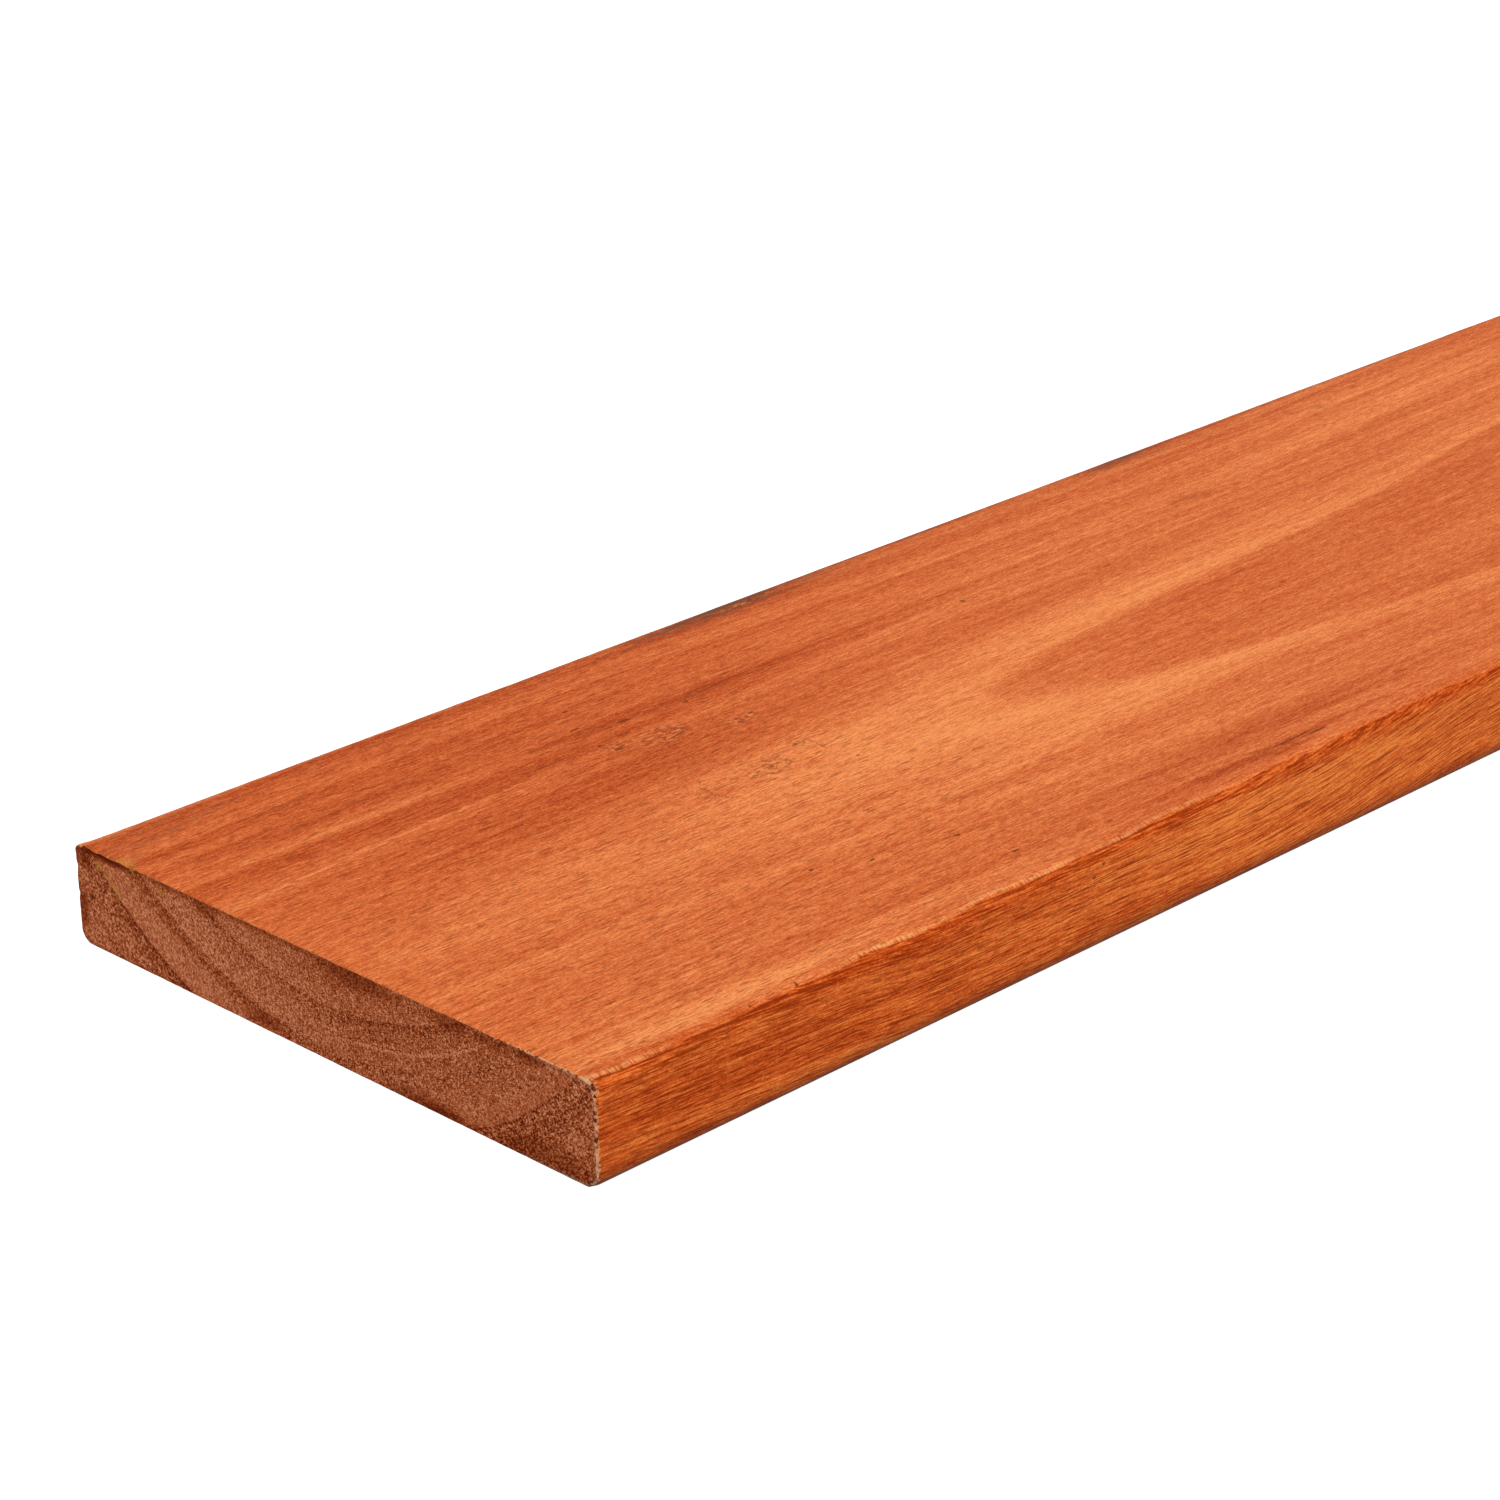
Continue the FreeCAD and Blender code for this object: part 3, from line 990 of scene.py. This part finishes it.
def planed_wood(name, edged=True, extra=None):
    """Oiled planed wood; edged faces reach the long edges, and extra adds what only some faces carry."""
    shader = Shader(name)
    wood = wood_layers(shader, edged)
    tone = planed_tone(shader, wood)
    if edged:
        edge_layers(shader, wood)
        tone = shader.add(tone, edge_tone(shader, wood))
    colour = shader.ramp(tone, FACE_COLOURS)
    if edged:
        colour = edge_colour(shader, wood, colour)
    grey = shader.times(shader.attribute("patch_grey"), shader.step(wood.fibres, 0.35, 0.65))
    colour = shader.mix(grey, colour, GREY_STAIN)
    if edged:
        colour = worn_highlit_arris(shader, wood, colour)
    pores = shader.times(shader.step(wood.pores, 0.62, 0.72), shader.curve(wood.u, PORE_SHARE))
    colour = shader.mix(shader.times(pores, PORE_COVER), colour, PORE)
    if extra:
        colour = extra(shader, wood, colour)
    height = shader.add(shader.swing(wood.threads, 1.0), shader.swing(wood.pores, -0.7))
    rough = shader.math("MULTIPLY_ADD", wood.threads, PLANED_ROUGHNESS_SWING, PLANED_ROUGHNESS)
    return shader.finish(colour, rough, PLANED_SPECULAR, height, PLANED_RELIEF)


def rim_gap(shader, v, w):
    """Distance in mm from a point of the section to its outline, near the outline."""
    def beyond(distance, flat):
        past = shader.minus(shader.math("ABSOLUTE", distance), flat)
        return shader.math("MAXIMUM", past, 0.0)

    across = beyond(v, HALF_WIDTH - ARRIS)
    up = beyond(shader.minus(w, THICKNESS / 2), THICKNESS / 2 - ARRIS)
    reach = shader.math("SQRT", shader.math("MULTIPLY_ADD", across, across, shader.times(up, up)))
    return shader.minus(ARRIS, reach)


def sawn_wood():
    """Bare sawn ends: ring lines, short bars across them and pores, darker along the top edge, with painted
    shade in two torn hollows there and along the bottom edge.
    """
    shader = Shader("sawn_end_grain")
    place, _, radius, arc = growth(shader)
    u, v, w = shader.parts(place)
    lean = shader.times(shader.swing(w, FRONT_LEAN, THICKNESS / 2), shader.step(v, -35.0, -60.0))
    radius = shader.add(radius, lean)
    grain = shader.vector(u, radius, arc)
    bands = shader.noise(grain, END_BAND_GRAIN, 2, 2.0)[0]
    bars = shader.noise(grain, BAR_GRAIN, 21, 0.0)[0]
    worms = shader.noise(grain, WORM_GRAIN, 22, 0.0)[0]
    grit = shader.noise(place, END_GRIT_GRAIN, 24, 0.0)[0]
    blotches = shader.noise(place, BLOTCH_GRAIN, 23, 2.0)[0]

    ring = shader.curve(radius, END_RING_TONE, "VECTOR")
    back = shader.step(v, -15.0, 15.0)
    faded = shader.times(shader.step(w, 13.0, 19.0), shader.step(radius, 95.0, 98.0))
    back_share = shader.times(back, shader.math("MULTIPLY_ADD", faded, -0.65, 1.0))
    # Darker patches on the near end; the first two are painted shade in the torn hollows under its top edge
    darkened = 0.0
    for (patch_v, patch_w), (half_v, half_w), strength in END_DARK_PATCHES:
        dark_patch = shader.spot(place, (0.0, patch_v, patch_w), (DARK_PATCH_REACH, half_v, half_w))
        darkened = shader.math("MULTIPLY_ADD", dark_patch, strength, darkened)
    depth = shader.math("MULTIPLY_ADD", darkened, -0.8, shader.curve(radius, END_TEXTURE, "VECTOR"))
    texture = shader.add(
        shader.swing(bars, BAR_TONE), shader.swing(worms, WORM_TONE), shader.swing(grit, END_GRIT_TONE))
    tone = shader.add(
        ring,
        shader.times(shader.curve(radius, BACK_RINGS, "VECTOR"), back_share),
        shader.times(shader.curve(radius, FRONT_RINGS, "VECTOR"), shader.minus(1.0, back)),
        shader.swing(bands, END_BAND_TONE),
        shader.times(texture, depth),
        shader.swing(blotches, BLOTCH_TONE),
        # Painted shade: darker towards the bottom edge of the sawn end
        shader.times(shader.step(w, 3.0, 0.5), -0.06),
        shader.times(darkened, -1.0))
    colour = shader.ramp(tone, END_COLOURS)
    for resin_v, resin_w in RESIN:
        resin = shader.spot(place, (0.0, resin_v, resin_w), RESIN_HALF)
        colour = shader.mix(shader.times(resin, shader.step(worms, 0.36, 0.60)), colour, GOLD_SPECK)
    hole = shader.spot(place, *END_HOLE)
    colour = shader.mix(hole, colour, DARK_SPECK)

    # The rim: frayed and grey at the front, dark red at the back
    gap = rim_gap(shader, v, w)
    ragged = shader.noise(place, FRAY_GRAIN, 13, 2.0, 0.7)[0]
    frayed = shader.step(shader.math("MULTIPLY_ADD", shader.step(ragged, 0.36, 0.66), -1.1, gap), 0.10, -0.30)
    frayed = shader.times(frayed, shader.step(v, -48.0, -66.0), RIM_GREY_COVER)
    colour = shader.mix(frayed, colour, RIM_GREY)
    dusky = shader.times(shader.step(gap, 1.4, 0.2), shader.step(v, 40.0, 66.0), RIM_RED_COVER)
    colour = shader.mix(dusky, colour, EDGE_LINE)

    height = shader.add(shader.swing(worms, 1.0), shader.swing(grit, 0.7))
    return shader.finish(colour, SAWN_ROUGHNESS, SAWN_SPECULAR, height, SAWN_RELIEF)


def sees_background(tree):
    """1 for rays from the camera, and for those that metal or glass would send on, so all see white."""
    path = tree.nodes.new("ShaderNodeLightPath").outputs
    total = path["Is Camera Ray"]
    for kind in ("Is Glossy Ray", "Is Transmission Ray"):
        either = tree.nodes.new("ShaderNodeMath")
        either.operation = "MAXIMUM"
        tree.links.new(total, either.inputs[0])
        tree.links.new(path[kind], either.inputs[1])
        total = either.outputs[0]
    return total


def floor():
    """A large pale floor that reads as white and keeps the board's soft shadow."""
    x, y = LENGTH * MM / 2 + FLOOR_MARGIN, HALF_WIDTH * MM + FLOOR_MARGIN
    mesh = bpy.data.meshes.new("studio_floor")
    mesh.from_pydata([(-x, -y, 0), (x, -y, 0), (x, y, 0), (-x, y, 0)], [], [(0, 1, 2, 3)])
    plane = bpy.data.objects.new("studio_floor", mesh)
    bpy.context.scene.collection.objects.link(plane)

    shader = Shader("studio_floor")
    shader.surface.inputs["Base Color"].default_value = (FLOOR_GREY, FLOOR_GREY, FLOOR_GREY, 1.0)
    shader.surface.inputs["Roughness"].default_value = 1.0
    shader.surface.inputs["Specular IOR Level"].default_value = 0.0
    shader.surface.inputs["Emission Color"].default_value = (1.0, 1.0, 1.0, 1.0)
    glow = shader.times(sees_background(shader.tree), FLOOR_GLOW)
    shader.put(shader.surface.inputs["Emission Strength"], glow)
    mesh.materials.append(shader.material)
    return plane


def studio():
    """One broad soft key light, an even light all round, and a white background for the camera."""
    key = bpy.data.lights.new("key", "SUN")
    key.energy = KEY_STRENGTH
    key.angle = KEY_SOFTNESS
    lamp = bpy.data.objects.new("key", key)
    lamp.rotation_euler = Vector(KEY_DIRECTION).to_track_quat("Z", "Y").to_euler()
    bpy.context.scene.collection.objects.link(lamp)

    world = bpy.data.worlds.new("studio")
    world.use_nodes = True
    bpy.context.scene.world = world
    tree = world.node_tree
    background = tree.nodes["Background"]
    background.inputs["Color"].default_value = (1.0, 1.0, 1.0, 1.0)
    strength = tree.nodes.new("ShaderNodeMath")
    strength.operation = "MULTIPLY_ADD"
    strength.inputs[1].default_value = 1.0 - AMBIENT
    strength.inputs[2].default_value = AMBIENT
    tree.links.new(sees_background(tree), strength.inputs[0])
    tree.links.new(strength.outputs[0], background.inputs["Strength"])


def camera():
    """The camera that took the photograph."""
    yaw, pitch, roll = (math.radians(a) for a in (CAMERA_YAW, CAMERA_PITCH, CAMERA_ROLL))
    ahead = Vector((math.cos(pitch) * math.cos(yaw), math.cos(pitch) * math.sin(yaw), -math.sin(pitch)))
    level = Vector((math.sin(yaw), -math.cos(yaw), 0.0))
    upright = level.cross(ahead)
    right = math.cos(roll) * level + math.sin(roll) * upright
    up = math.cos(roll) * upright - math.sin(roll) * level
    data = bpy.data.cameras.new("camera")
    data.lens, data.sensor_width = CAMERA_LENS, CAMERA_SENSOR
    data.clip_start = CAMERA_CLIP
    eye = bpy.data.objects.new("camera", data)
    turn = Matrix((right, up, -ahead)).transposed().to_4x4()
    place = Vector(CAMERA_PLACE) + Vector((LOW[0], 0.0, 0.0))
    eye.matrix_world = Matrix.Translation(place * MM) @ turn
    bpy.context.scene.collection.objects.link(eye)
    bpy.context.scene.camera = eye


def main():
    board = board_object([
        planed_wood("oiled_wood_flat", edged=False),
        sawn_wood(),
        planed_wood("oiled_wood_marked", extra=marks),
        planed_wood("oiled_wood_rim", extra=end_fringe),
        planed_wood("oiled_wood_edge"),
    ])
    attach(board, "root")
    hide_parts(NODE)
    floor()
    studio()
    camera()
    bpy.context.scene.view_settings.view_transform = "Standard"


main()
